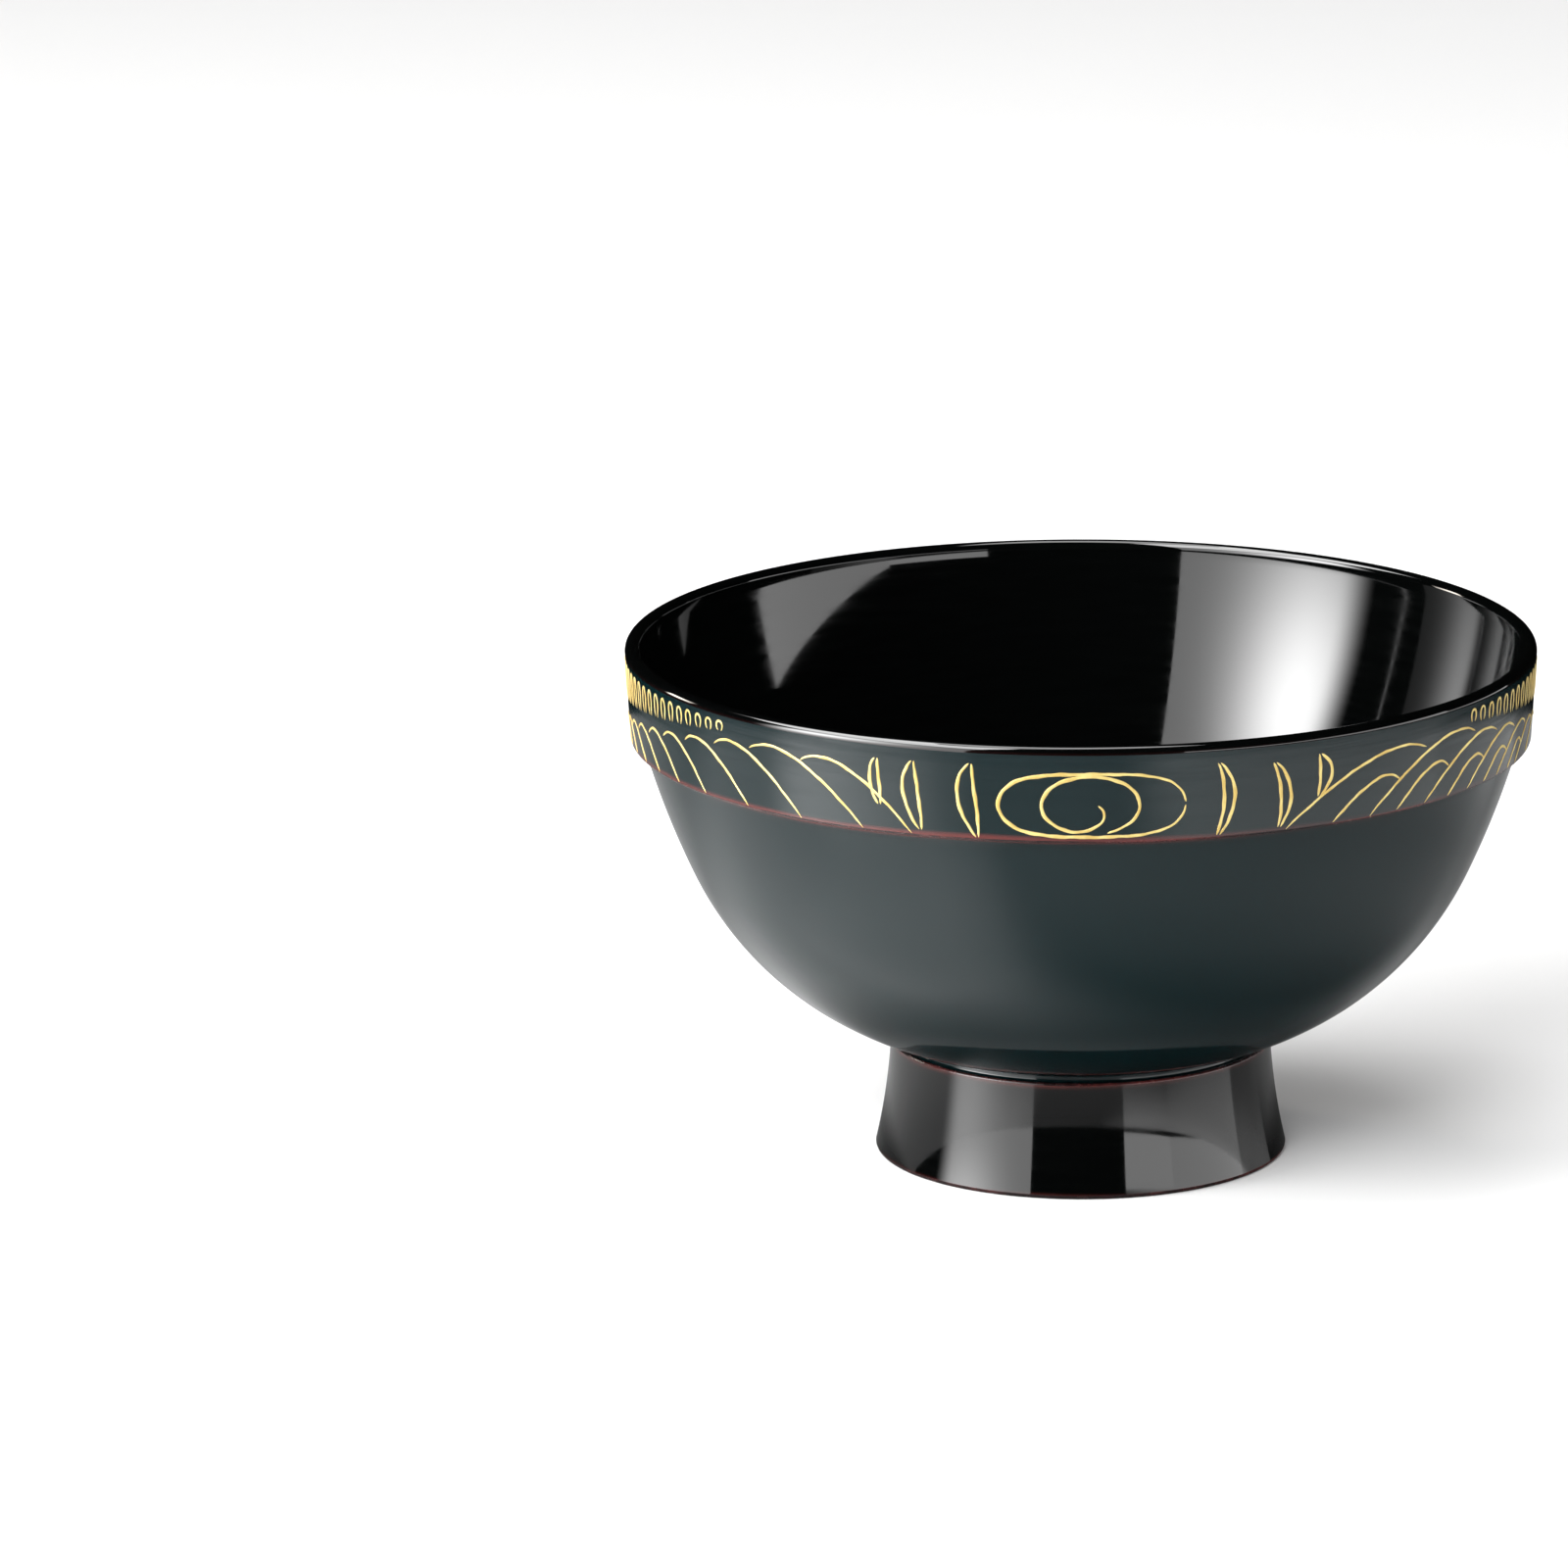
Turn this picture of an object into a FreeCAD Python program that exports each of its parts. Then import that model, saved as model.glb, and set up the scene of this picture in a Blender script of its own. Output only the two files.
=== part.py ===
import FreeCAD, Part
import math
import os

import Sketcher

# A footed soup bowl in lacquered wood, with a raised band of gold line work under its lip.
# Millimetres, +Z up. The origin is the centre of the plane that the foot stands on, and -Y is
# the side of the front medallion. Azimuths are degrees round +Z from -Y, positive towards +X.

SIZES = {
    "mouth_radius": 60.0,          # widest point of the bowl, at the lip
    "bowl_height": 69.0,           # standing plane to the top of the lip
    "lip_round": 1.0,              # radius of the rounded lip, half the wall there
    "band_low_radius": 59.35,      # the band's face at its lower edge
    "band_low_height": 56.45,
    "swell_angle": 25.0,           # below horizontal, where the side's two arcs meet
    "side_arc": 114.0,             # outer arc above the meeting point
    "belly_arc": 43.2,             # outer arc below it
    "belly_centre_radius": 12.24,
    "belly_centre_height": 57.3,
    "wall": 2.4,                   # finished side wall below the band
    "well_arc": 34.5,              # inner arc of the well
    "neck_radius": 24.2,
    "foot_height": 15.2,
    "foot_top_radius": 25.18,
    "flare_arc": 80.0,             # hollow curve of the foot's outside
    "flare_centre_height": 19.0,
    "recess_top_radius": 21.5,     # hollow under the foot
    "recess_base_radius": 23.5,
    "recess_height": 11.5,
    "coat": 0.25,                  # a finished lacquer film with its ground
    "cloth": 0.3,                  # hemp cloth let into the wood
    "cloth_lap_height": 60.0,      # the rim cloth's edge inside the bowl
    "well_cloth_radius": 17.0,
    "foot_cloth_height": 4.0,
    "standing_height": 0.8,        # hard ground under the foot
    "edge_wear": 0.3,              # the worn corners where the red-brown undercoat shows
    "base_wear": 0.6,              # the same at the foot's base, where tables rub it most
    "gold_relief": 0.08,           # gold powder line above the band
    "gold_width": 0.5,
}

document = FreeCAD.newDocument("lacquer_bowl")
sheet = document.addObject("Spreadsheet::Sheet", "Sizes")
for row, (name, number) in enumerate(SIZES.items(), start=1):
    sheet.set(f"A{row}", name)
    sheet.set(f"B{row}", str(number))
    sheet.setAlias(f"B{row}", name)
document.recompute()


class Size:
    """A size held two ways: its number, and the expression that binds a constraint to the sheet."""

    def __init__(self, number, text):
        self.number = number
        self.text = text

    def __add__(self, other):
        other = as_size(other)
        return Size(self.number + other.number, f"({self.text} + {other.text})")

    def __sub__(self, other):
        other = as_size(other)
        return Size(self.number - other.number, f"({self.text} - {other.text})")

    def __mul__(self, other):
        other = as_size(other)
        return Size(self.number * other.number, f"({self.text} * {other.text})")

    def __truediv__(self, other):
        other = as_size(other)
        return Size(self.number / other.number, f"({self.text} / {other.text})")


def as_size(value):
    return value if isinstance(value, Size) else Size(float(value), str(value))


def cell(name):
    return Size(float(sheet.get(name)), f"Sizes.{name}")


def root(size):
    return Size(math.sqrt(size.number), f"sqrt({size.text})")


def cosine(angle):
    return Size(math.cos(math.radians(angle.number)), f"cos({angle.text})")


def sine(angle):
    return Size(math.sin(math.radians(angle.number)), f"sin({angle.text})")


# Sizes that follow from the sheet.

coat = cell("coat")
cloth = cell("cloth")
skin = coat + cloth
swell = cell("swell_angle")
edge_wear = cell("edge_wear")
base_wear = cell("base_wear")

lip_centre_radius = cell("mouth_radius") - cell("lip_round")
lip_centre_height = cell("bowl_height") - cell("lip_round")
side_centre_radius = cell("belly_centre_radius") - (cell("side_arc") - cell("belly_arc")) * cosine(swell)
side_centre_height = cell("belly_centre_height") + (cell("side_arc") - cell("belly_arc")) * sine(swell)
inner_side_arc = cell("side_arc") - cell("wall")
well_centre_radius = side_centre_radius + (inner_side_arc - cell("well_arc")) * cosine(swell)
well_centre_height = side_centre_height - (inner_side_arc - cell("well_arc")) * sine(swell)
well_floor = well_centre_height - cell("well_arc")
flare_centre_radius = cell("foot_top_radius") + root(
    cell("flare_arc") * cell("flare_arc")
    - (cell("flare_centre_height") - cell("foot_height"))
    * (cell("flare_centre_height") - cell("foot_height"))
)
foot_seat = cell("foot_height") - coat
spigot_end = cell("recess_height") + coat
cloth_lap = cell("cloth_lap_height")
bare = Size(0.0, "0.0")  # no depth: the finished surface itself


def out_from(centre_radius, centre_height, arc, height):
    """Radius at a height on the right-hand side of a circle in the half-section."""
    rise = centre_height - height
    return centre_radius + root(arc * arc - rise * rise)


def down_from(centre_radius, centre_height, arc, radius):
    """Height at a radius on the lower side of a circle in the half-section."""
    run = radius - centre_radius
    return centre_height - root(arc * arc - run * run)


def side_radius(depth, height):
    """The bowl's side above the swell, that deep below its finished outside."""
    return out_from(side_centre_radius, side_centre_height, cell("side_arc") - depth, height)


def inner_radius(depth, height):
    """The inside above the swell, that deep below its finished face."""
    return out_from(side_centre_radius, side_centre_height, inner_side_arc + depth, height)


def outer_swell(depth):
    arc = cell("belly_arc") - depth
    return (
        cell("belly_centre_radius") + arc * cosine(swell),
        cell("belly_centre_height") - arc * sine(swell),
    )


def inner_swell(depth):
    arc = cell("well_arc") + depth
    return (well_centre_radius + arc * cosine(swell), well_centre_height - arc * sine(swell))


def neck_height(depth):
    """Height at which the belly, that deep below its finished face, reaches the neck."""
    return down_from(
        cell("belly_centre_radius"),
        cell("belly_centre_height"),
        cell("belly_arc") - depth,
        cell("neck_radius") - depth,
    )


def band_face(depth, height):
    """The band's sloping face, that deep below its finished outside."""
    rise = (height - cell("band_low_height")) / (lip_centre_height - cell("band_low_height"))
    return cell("band_low_radius") - depth + (cell("mouth_radius") - cell("band_low_radius")) * rise


def flare_radius(depth, height):
    """The foot's hollow outside, that deep below its finished face."""
    arc = cell("flare_arc") + depth
    rise = cell("flare_centre_height") - height
    return flare_centre_radius - root(arc * arc - rise * rise)


def recess_radius(depth, height):
    """The sloping wall under the foot, that deep behind its finished face."""
    slope = (cell("recess_base_radius") - cell("recess_top_radius")) / cell("recess_height")
    return cell("recess_base_radius") + depth - slope * height


class Outline:
    """A closed half-section: corners (radius, height) joined by lines or by arcs."""

    def __init__(self, radius, height):
        self.corners = [(as_size(radius), as_size(height))]
        self.arcs = []

    def line(self, radius, height):
        self.corners.append((as_size(radius), as_size(height)))
        self.arcs.append(None)
        return self

    def arc(self, radius, height, arc_radius, bend):
        """An arc to the next corner; bend is 1 if it turns left on the way and -1 if right."""
        self.corners.append((as_size(radius), as_size(height)))
        self.arcs.append((arc_radius, bend))
        return self

    def close(self):
        self.arcs.append(None)
        return self


def arc_geometry(start, end, arc_radius, bend):
    """A circular arc from start to end in the sketch plane."""
    chord = end - start
    aside = FreeCAD.Vector(-chord.y, chord.x, 0).normalize()
    reach = math.sqrt(arc_radius**2 - (chord.Length / 2) ** 2)
    centre = start + chord * 0.5 + aside * (reach * bend)
    from_angle = math.atan2(start.y - centre.y, start.x - centre.x)
    to_angle = math.atan2(end.y - centre.y, end.x - centre.x)
    if bend < 0:
        from_angle, to_angle = to_angle, from_angle
    circle = Part.Circle(centre, FreeCAD.Vector(0, 0, 1), arc_radius)
    return Part.ArcOfCircle(circle, from_angle, to_angle)


HORIZONTAL_AXIS = -1
VERTICAL_AXIS = -2
START, END = 1, 2


def bind(sketch, constraint, size):
    index = sketch.addConstraint(constraint)
    sketch.setExpression(f"Constraints[{index}]", size.text)


def pin_corner(sketch, edge, end, radius, height):
    """Hold one corner of the half-section to its radius and its height."""
    if radius.number == 0:
        sketch.addConstraint(Sketcher.Constraint("PointOnObject", edge, end, VERTICAL_AXIS))
    else:
        bind(
            sketch,
            Sketcher.Constraint("DistanceX", HORIZONTAL_AXIS, START, edge, end, radius.number),
            radius,
        )
    if height.number == 0:
        sketch.addConstraint(Sketcher.Constraint("PointOnObject", edge, end, HORIZONTAL_AXIS))
    else:
        bind(
            sketch,
            Sketcher.Constraint("DistanceY", HORIZONTAL_AXIS, START, edge, end, height.number),
            height,
        )


def draw(sketch, outline):
    """Put an outline into a sketch, with every corner and arc bound to the sheet."""
    count = len(outline.corners)
    points = [FreeCAD.Vector(radius.number, height.number, 0) for radius, height in outline.corners]
    ends = []
    for number, arc in enumerate(outline.arcs):
        start, end = points[number], points[(number + 1) % count]
        if arc is None:
            sketch.addGeometry(Part.LineSegment(start, end), False)
            ends.append((START, END))
        else:
            arc_radius, bend = arc
            sketch.addGeometry(arc_geometry(start, end, arc_radius.number, bend), False)
            ends.append((START, END) if bend > 0 else (END, START))
    for number in range(count):
        following = (number + 1) % count
        joint = Sketcher.Constraint("Coincident", number, ends[number][1], following, ends[following][0])
        sketch.addConstraint(joint)
    for number, (radius, height) in enumerate(outline.corners):
        pin_corner(sketch, number, ends[number][0], radius, height)
    for number, arc in enumerate(outline.arcs):
        if arc is not None:
            arc_radius = arc[0]
            bind(sketch, Sketcher.Constraint("Radius", number, arc_radius.number), arc_radius)


def turned(label, outline):
    """A body turned about +Z from its half-section."""
    body = document.addObject("PartDesign::Body", label)
    body.Label = label
    sketch = body.newObject("Sketcher::SketchObject", f"{label}_section")
    plane = [item for item in body.Origin.OriginFeatures if item.Role == "XZ_Plane"][0]
    sketch.AttachmentSupport = [(plane, "")]
    sketch.MapMode = "FlatFace"
    draw(sketch, outline)
    document.recompute()
    turning = body.newObject("PartDesign::Revolution", f"{label}_turning")
    turning.Profile = sketch
    turning.ReferenceAxis = (sketch, ["V_Axis"])
    turning.Angle = 360.0
    body.Tip = turning
    body.Placement = FreeCAD.Placement()
    return body


# The two pieces of turned wood.


def bowl_core():
    """The bowl, with its raised band, rebates for the cloth, and a spigot under the base."""
    lip_arc = cell("lip_round") - skin
    spigot_radius = recess_radius(coat, spigot_end)
    neck = cell("neck_radius") - coat
    ledge = cell("band_low_height") + coat
    outline = Outline(0, spigot_end)
    outline.line(spigot_radius, spigot_end)
    outline.line(spigot_radius, foot_seat)
    outline.line(neck, foot_seat)
    outline.line(neck, neck_height(coat))
    outline.arc(*outer_swell(coat), cell("belly_arc") - coat, 1)
    outline.arc(side_radius(coat, ledge), ledge, cell("side_arc") - coat, 1)
    outline.line(band_face(skin, ledge), ledge)
    outline.line(cell("mouth_radius") - skin, lip_centre_height)
    outline.arc(lip_centre_radius, cell("bowl_height") - skin, lip_arc, 1)
    outline.arc(lip_centre_radius - lip_arc, lip_centre_height, lip_arc, 1)
    outline.arc(inner_radius(skin, cloth_lap), cloth_lap, inner_side_arc + skin, -1)
    outline.line(inner_radius(coat, cloth_lap), cloth_lap)
    outline.arc(*inner_swell(coat), inner_side_arc + coat, -1)
    outline.arc(well_centre_radius, well_floor - coat, cell("well_arc") + coat, -1)
    outline.line(cell("well_cloth_radius"), well_floor - coat)
    outline.line(cell("well_cloth_radius"), well_floor - skin)
    outline.line(0, well_floor - skin)
    return turned("bowl_core", outline.close())


def foot_ring():
    """The foot, bored for the spigot and glued under the bowl."""
    spigot_radius = recess_radius(coat, spigot_end)
    cloth_top = cell("foot_cloth_height")
    base = cell("standing_height") + cloth
    outline = Outline(spigot_radius, spigot_end)
    outline.line(recess_radius(coat, cloth_top), cloth_top)
    outline.line(recess_radius(skin, cloth_top), cloth_top)
    outline.line(recess_radius(skin, base), base)
    outline.line(flare_radius(skin, base), base)
    outline.arc(flare_radius(skin, cloth_top), cloth_top, cell("flare_arc") + skin, -1)
    outline.line(flare_radius(coat, cloth_top), cloth_top)
    outline.arc(flare_radius(coat, foot_seat), foot_seat, cell("flare_arc") + coat, -1)
    outline.line(spigot_radius, foot_seat)
    return turned("foot_ring", outline.close())


# Hemp cloth, let into the wood where the bowl takes its knocks.


def rim_cloth():
    """A strip over the band, round the lip and a little way down the inside."""
    ledge = cell("band_low_height") + coat
    deep_arc = cell("lip_round") - skin
    shallow_arc = cell("lip_round") - coat
    outline = Outline(band_face(skin, ledge), ledge)
    outline.line(band_face(coat, ledge), ledge)
    outline.line(cell("mouth_radius") - coat, lip_centre_height)
    outline.arc(lip_centre_radius, cell("bowl_height") - coat, shallow_arc, 1)
    outline.arc(lip_centre_radius - shallow_arc, lip_centre_height, shallow_arc, 1)
    outline.arc(inner_radius(coat, cloth_lap), cloth_lap, inner_side_arc + coat, -1)
    outline.line(inner_radius(skin, cloth_lap), cloth_lap)
    outline.arc(lip_centre_radius - deep_arc, lip_centre_height, inner_side_arc + skin, 1)
    outline.arc(lip_centre_radius, cell("bowl_height") - skin, deep_arc, -1)
    outline.arc(cell("mouth_radius") - skin, lip_centre_height, deep_arc, -1)
    return turned("rim_cloth", outline.close())


def well_cloth():
    """A disc in the bottom of the bowl."""
    outline = Outline(0, well_floor - skin)
    outline.line(cell("well_cloth_radius"), well_floor - skin)
    outline.line(cell("well_cloth_radius"), well_floor - coat)
    outline.line(0, well_floor - coat)
    return turned("well_cloth", outline.close())


def foot_cloth():
    """A strip folded round the lower edge of the foot."""
    top = cell("foot_cloth_height")
    low = cell("standing_height")
    base = low + cloth
    outline = Outline(recess_radius(coat, top), top)
    outline.line(recess_radius(coat, low), low)
    outline.line(flare_radius(coat, low), low)
    outline.arc(flare_radius(coat, top), top, cell("flare_arc") + coat, -1)
    outline.line(flare_radius(skin, top), top)
    outline.arc(flare_radius(skin, base), base, cell("flare_arc") + skin, 1)
    outline.line(recess_radius(skin, base), base)
    outline.line(recess_radius(skin, top), top)
    return turned("foot_cloth", outline.close())


# Lacquer coats.


def lip_shoulder(depth, steps=3):
    """A point on the lip's outer quarter, that many 15 degree steps up, that deep in the coat."""
    rise = Size(15.0 * steps, str(15.0 * steps))
    reach = cell("lip_round") - depth
    return (lip_centre_radius + reach * cosine(rise), lip_centre_height + reach * sine(rise))


def inside_lacquer():
    """Gloss black from the well up the inside and over the lip to its outer shoulder."""
    shallow_arc = cell("lip_round") - coat
    outline = Outline(0, well_floor - coat)
    outline.line(well_centre_radius, well_floor - coat)
    outline.arc(*inner_swell(coat), cell("well_arc") + coat, 1)
    outline.arc(lip_centre_radius - shallow_arc, lip_centre_height, inner_side_arc + coat, 1)
    outline.arc(lip_centre_radius, cell("bowl_height") - coat, shallow_arc, -1)
    outline.arc(*lip_shoulder(coat), shallow_arc, -1)
    outline.line(*lip_shoulder(bare))
    outline.arc(lip_centre_radius, cell("bowl_height"), cell("lip_round"), 1)
    outline.arc(lip_centre_radius - cell("lip_round"), lip_centre_height, cell("lip_round"), 1)
    outline.arc(*inner_swell(bare), inner_side_arc, -1)
    outline.arc(well_centre_radius, well_floor, cell("well_arc"), -1)
    outline.line(0, well_floor)
    return turned("inside_lacquer", outline.close())


def band_lacquer():
    """Gloss black on the face of the band."""
    low = cell("band_low_height") + edge_wear
    outline = Outline(band_face(coat, low), low)
    outline.line(band_face(bare, low), low)
    outline.line(cell("mouth_radius"), lip_centre_height)
    outline.line(cell("mouth_radius") - coat, lip_centre_height)
    return turned("band_lacquer", outline.close())


def body_lacquer():
    """Gloss black under the band, down the side, round the neck and over the foot's ledge."""
    under_band = cell("band_low_height")
    ledge = under_band + coat
    ledge_edge = cell("band_low_radius") - edge_wear
    foot_edge = cell("foot_top_radius") - edge_wear
    outline = Outline(foot_edge, foot_seat)
    outline.line(foot_edge, cell("foot_height"))
    outline.line(cell("neck_radius"), cell("foot_height"))
    outline.line(cell("neck_radius"), neck_height(bare))
    outline.arc(*outer_swell(bare), cell("belly_arc"), 1)
    outline.arc(side_radius(bare, under_band), under_band, cell("side_arc"), 1)
    outline.line(ledge_edge, under_band)
    outline.line(ledge_edge, ledge)
    outline.line(side_radius(coat, ledge), ledge)
    outline.arc(*outer_swell(coat), cell("side_arc") - coat, -1)
    outline.arc(cell("neck_radius") - coat, neck_height(coat), cell("belly_arc") - coat, -1)
    outline.line(cell("neck_radius") - coat, foot_seat)
    return turned("body_lacquer", outline.close())


def foot_lacquer():
    """Gloss black on the outside of the foot."""
    low = base_wear
    high = cell("foot_height") - edge_wear
    outline = Outline(flare_radius(coat, low), low)
    outline.line(flare_radius(bare, low), low)
    outline.arc(flare_radius(bare, high), high, cell("flare_arc"), -1)
    outline.line(flare_radius(coat, high), high)
    outline.arc(flare_radius(coat, low), low, cell("flare_arc") + coat, 1)
    outline.corners.pop()
    return turned("foot_lacquer", outline)


def recess_lacquer():
    """Black under the foot: the sloping wall and the flat ceiling."""
    low = cell("standing_height")
    high = cell("recess_height")
    outline = Outline(0, high)
    outline.line(cell("recess_top_radius"), high)
    outline.line(recess_radius(bare, low), low)
    outline.line(recess_radius(coat, low), low)
    outline.line(recess_radius(coat, spigot_end), spigot_end)
    outline.line(0, spigot_end)
    return turned("recess_lacquer", outline.close())


def standing_edge():
    """The ring of hard ground that the bowl stands on."""
    high = cell("standing_height")
    outer = flare_radius(bare, bare)
    outline = Outline(cell("recess_base_radius"), 0)
    outline.line(outer - base_wear, 0)
    outline.line(outer - base_wear, coat)
    outline.line(flare_radius(coat, coat), coat)
    outline.arc(flare_radius(coat, high), high, cell("flare_arc") + coat, -1)
    outline.line(recess_radius(bare, high), high)
    return turned("standing_edge", outline.close())


# The red-brown undercoat, where the black is rubbed through at the edges.


def lip_edge_line():
    """The outer shoulder of the lip, in narrow flats."""
    steps = 3
    outline = Outline(*lip_shoulder(coat, 0))
    for step in range(steps + 1):
        outline.line(*lip_shoulder(bare, step))
    for step in range(steps, 0, -1):
        outline.line(*lip_shoulder(coat, step))
    return turned("lip_edge_line", outline.close())


def corner_line(label, radius, height, wall, up, wear):
    """A ring that fills the worn corner at the end of a wall; up is 1 at its foot, -1 at its top."""
    end = height + wear * up
    back = height + coat * up
    outline = Outline(radius - wear, height)
    outline.line(wall(bare, end), end)
    outline.line(wall(coat, end), end)
    outline.line(wall(coat, back), back)
    outline.line(radius - wear, back)
    return turned(label, outline.close())


def band_edge_line():
    """The lower edge of the band."""
    low = cell("band_low_height")
    return corner_line("band_edge_line", cell("band_low_radius"), low, band_face, 1, edge_wear)


def foot_top_edge_line():
    """The upper edge of the foot."""
    high = cell("foot_height")
    return corner_line("foot_top_edge_line", cell("foot_top_radius"), high, flare_radius, -1, edge_wear)


def foot_base_edge_line():
    """The outer edge that the foot stands on."""
    radius = flare_radius(bare, bare)
    return corner_line("foot_base_edge_line", radius, bare, flare_radius, 1, base_wear)


# Gold line work. A stroke is a path of (azimuth, height) on the band, widened in the unrolled
# plane and raised off the face. The pattern fills the front half and is repeated at the back.

BAND_MIDDLE = 61.4
FEATHER_FOOT = 56.8
STROKE_POINTS = 13
REPEATS = 2


def on_band(azimuth, height, lift):
    """A point over the band's face."""
    radius = band_face(bare, as_size(height)).number + lift
    turn = math.radians(azimuth)
    return FreeCAD.Vector(radius * math.sin(turn), -radius * math.cos(turn), height)


def bezier(poles, count=STROKE_POINTS):
    """Points along a Bezier curve of (azimuth, height) poles."""
    order = len(poles) - 1
    path = []
    for step in range(count):
        along = step / (count - 1)
        weights = [
            math.comb(order, index) * along**index * (1 - along) ** (order - index)
            for index in range(order + 1)
        ]
        azimuth = sum(weight * pole[0] for weight, pole in zip(weights, poles))
        height = sum(weight * pole[1] for weight, pole in zip(weights, poles))
        path.append((azimuth, height))
    return path


def stroke_sides(path):
    """The two sides of a stroke, thinner towards its ends."""
    millimetres_per_degree = math.radians(cell("mouth_radius").number)
    half = cell("gold_width").number / 2
    last = len(path) - 1
    left, right = [], []
    for index, (azimuth, height) in enumerate(path):
        before, after = path[max(index - 1, 0)], path[min(index + 1, last)]
        run = (after[0] - before[0]) * millimetres_per_degree
        rise = after[1] - before[1]
        length = math.hypot(run, rise)
        width = half * (0.4 + 0.6 * math.sin(math.pi * index / last) ** 0.5)
        aside = -rise / length * width / millimetres_per_degree
        upward = run / length * width
        left.append((azimuth + aside, height + upward))
        right.append((azimuth - aside, height - upward))
    return left, right


def curve_over_band(side, lift):
    curve = Part.BSplineCurve()
    curve.interpolate([on_band(azimuth, height, lift) for azimuth, height in side])
    return curve.toShape()


def end_edge(left, right, lift):
    return Part.LineSegment(on_band(*left, lift), on_band(*right, lift)).toShape()


def stroke(path):
    """One raised line of gold, as a closed solid."""
    relief = cell("gold_relief").number
    left, right = stroke_sides(path)
    corners = [curve_over_band(side, lift) for side, lift in
               ((left, 0.0), (right, 0.0), (right, relief), (left, relief))]
    faces = [Part.makeRuledSurface(corners[index], corners[(index + 1) % 4]) for index in range(4)]
    for end in (0, -1):
        low = end_edge(left[end], right[end], 0.0)
        high = end_edge(left[end], right[end], relief)
        faces.append(Part.makeRuledSurface(low, high))
    shell = Part.makeShell(faces)
    shell.sewShape()
    solid = Part.makeSolid(shell)
    if solid.Volume < 0:
        solid.reverse()
    return solid


def gold(label, paths):
    """A group of like strokes, repeated round the band."""
    axis = FreeCAD.Vector(0, 0, 1)
    solids = []
    for path in paths:
        for repeat in range(REPEATS):
            solid = stroke(path)
            solid.rotate(FreeCAD.Vector(), axis, repeat * 360.0 / REPEATS)
            solids.append(solid)
    group = document.addObject("Part::Feature", label)
    group.Label = label
    group.Shape = Part.makeCompound(solids)
    group.Placement = FreeCAD.Placement()
    return group


def medallion_paths():
    """An oval, flattened above and below, with a small break at its right-hand end."""
    centre, half_width, half_height = 1.45, 11.5, 4.15
    flatness = 0.09
    break_angle = 2.0
    count = 41
    path = []
    for step in range(count):
        angle = math.radians(break_angle + (360 - 2 * break_angle) * step / (count - 1))
        swing = (math.sin(angle) + flatness * math.sin(3 * angle)) / (1 - flatness)
        path.append((centre + half_width * math.cos(angle), BAND_MIDDLE + half_height * swing))
    return [path]


def spiral_paths():
    """A curl that opens clockwise from the medallion's middle into a full ring."""
    centre, half_width, half_height = 1.25, 6.0, 3.85
    first_reach = 0.16
    opening = 130.0
    sweep = 430.0
    count = 45
    path = []
    for step in range(count):
        turned_by = sweep * step / (count - 1)
        opened = math.sin(math.radians(90 * min(1.0, turned_by / opening))) ** 2
        reach = first_reach + (1 - first_reach) * opened
        angle = -math.radians(turned_by)
        path.append(
            (centre + half_width * reach * math.cos(angle), BAND_MIDDLE + half_height * reach * math.sin(angle))
        )
    return [path]


def crescent(top, tip, flat_bow, full_bow):
    """Two strokes from a shared top to a shared tip, bowed sideways by different amounts."""
    gap = 0.35
    paths = []
    for bow, shift in ((flat_bow, 0.0), (full_bow, math.copysign(gap, full_bow))):
        start = (top[0] + shift, top[1])
        end = (tip[0] + shift, tip[1])
        upper = (start[0] + bow * 4 / 3, start[1] - 0.25 * (start[1] - end[1]))
        lower = (end[0] + bow * 4 / 3, end[1] + 0.35 * (start[1] - end[1]))
        paths.append(bezier([start, upper, lower, end]))
    return paths


# Each crescent: top, tip, and how far its flatter and fuller sides bow, in degrees.
CRESCENTS = [
    ((-13.3, 66.6), (-12.5, 56.9), 0.0, -1.9),
    ((-20.6, 66.4), (-19.8, 57.4), 0.0, -1.6),
    ((-25.5, 66.3), (-25.2, 60.2), 0.0, -1.5),
    ((16.9, 66.4), (16.9, 56.9), 0.9, 1.9),
    ((24.2, 65.8), (24.9, 57.2), 0.7, 1.7),
    ((30.4, 66.2), (30.4, 60.6), 0.3, 1.6),
]


def feather(tip, reach, crown, foot=FEATHER_FOOT):
    """A stroke that starts level, rounds over its crown and sweeps down to its tip.

    A negative reach starts the stroke to the left of its tip, and a positive one to the right.
    """
    poles = [
        (tip + reach, crown - 1.1),
        (tip + reach * 0.78, crown + 1.3),
        (tip + reach * 0.42, crown - 0.9),
        (tip, foot),
    ]
    return bezier(poles)


# Each feather: the azimuth of its tip, the reach back to its start, and its crown's height.
LEFT_FEATHERS = [
    (-21.1, -15.6, 65.6),
    (-27.7, -17.4, 65.8),
    (-36.8, -15.2, 65.1),
    (-45.8, -12.9, 64.1),
    (-54.3, -10.6, 63.2),
    (-60.9, -9.3, 62.4),
    (-66.9, -8.3, 61.7),
    (-72.3, -7.4, 61.1),
    (-77.2, -6.6, 60.6),
    (-81.7, -5.9, 60.1),
]
RIGHT_LONG_FEATHERS = [
    (26.0, 21.8, 65.4),
    (38.4, 19.8, 65.4),
    (47.9, 16.4, 64.1),
    (56.9, 13.8, 63.1),
    (65.0, 11.4, 62.2),
    (71.9, 9.6, 61.4),
    (77.9, 8.0, 60.8),
]
RIGHT_SHORT_FEATHERS = [
    (32.7, 10.6, 61.9),
    (42.9, 9.6, 61.9),
    (52.6, 8.2, 61.1),
    (61.2, 6.8, 60.4),
    (68.8, 5.6, 59.9),
]


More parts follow.
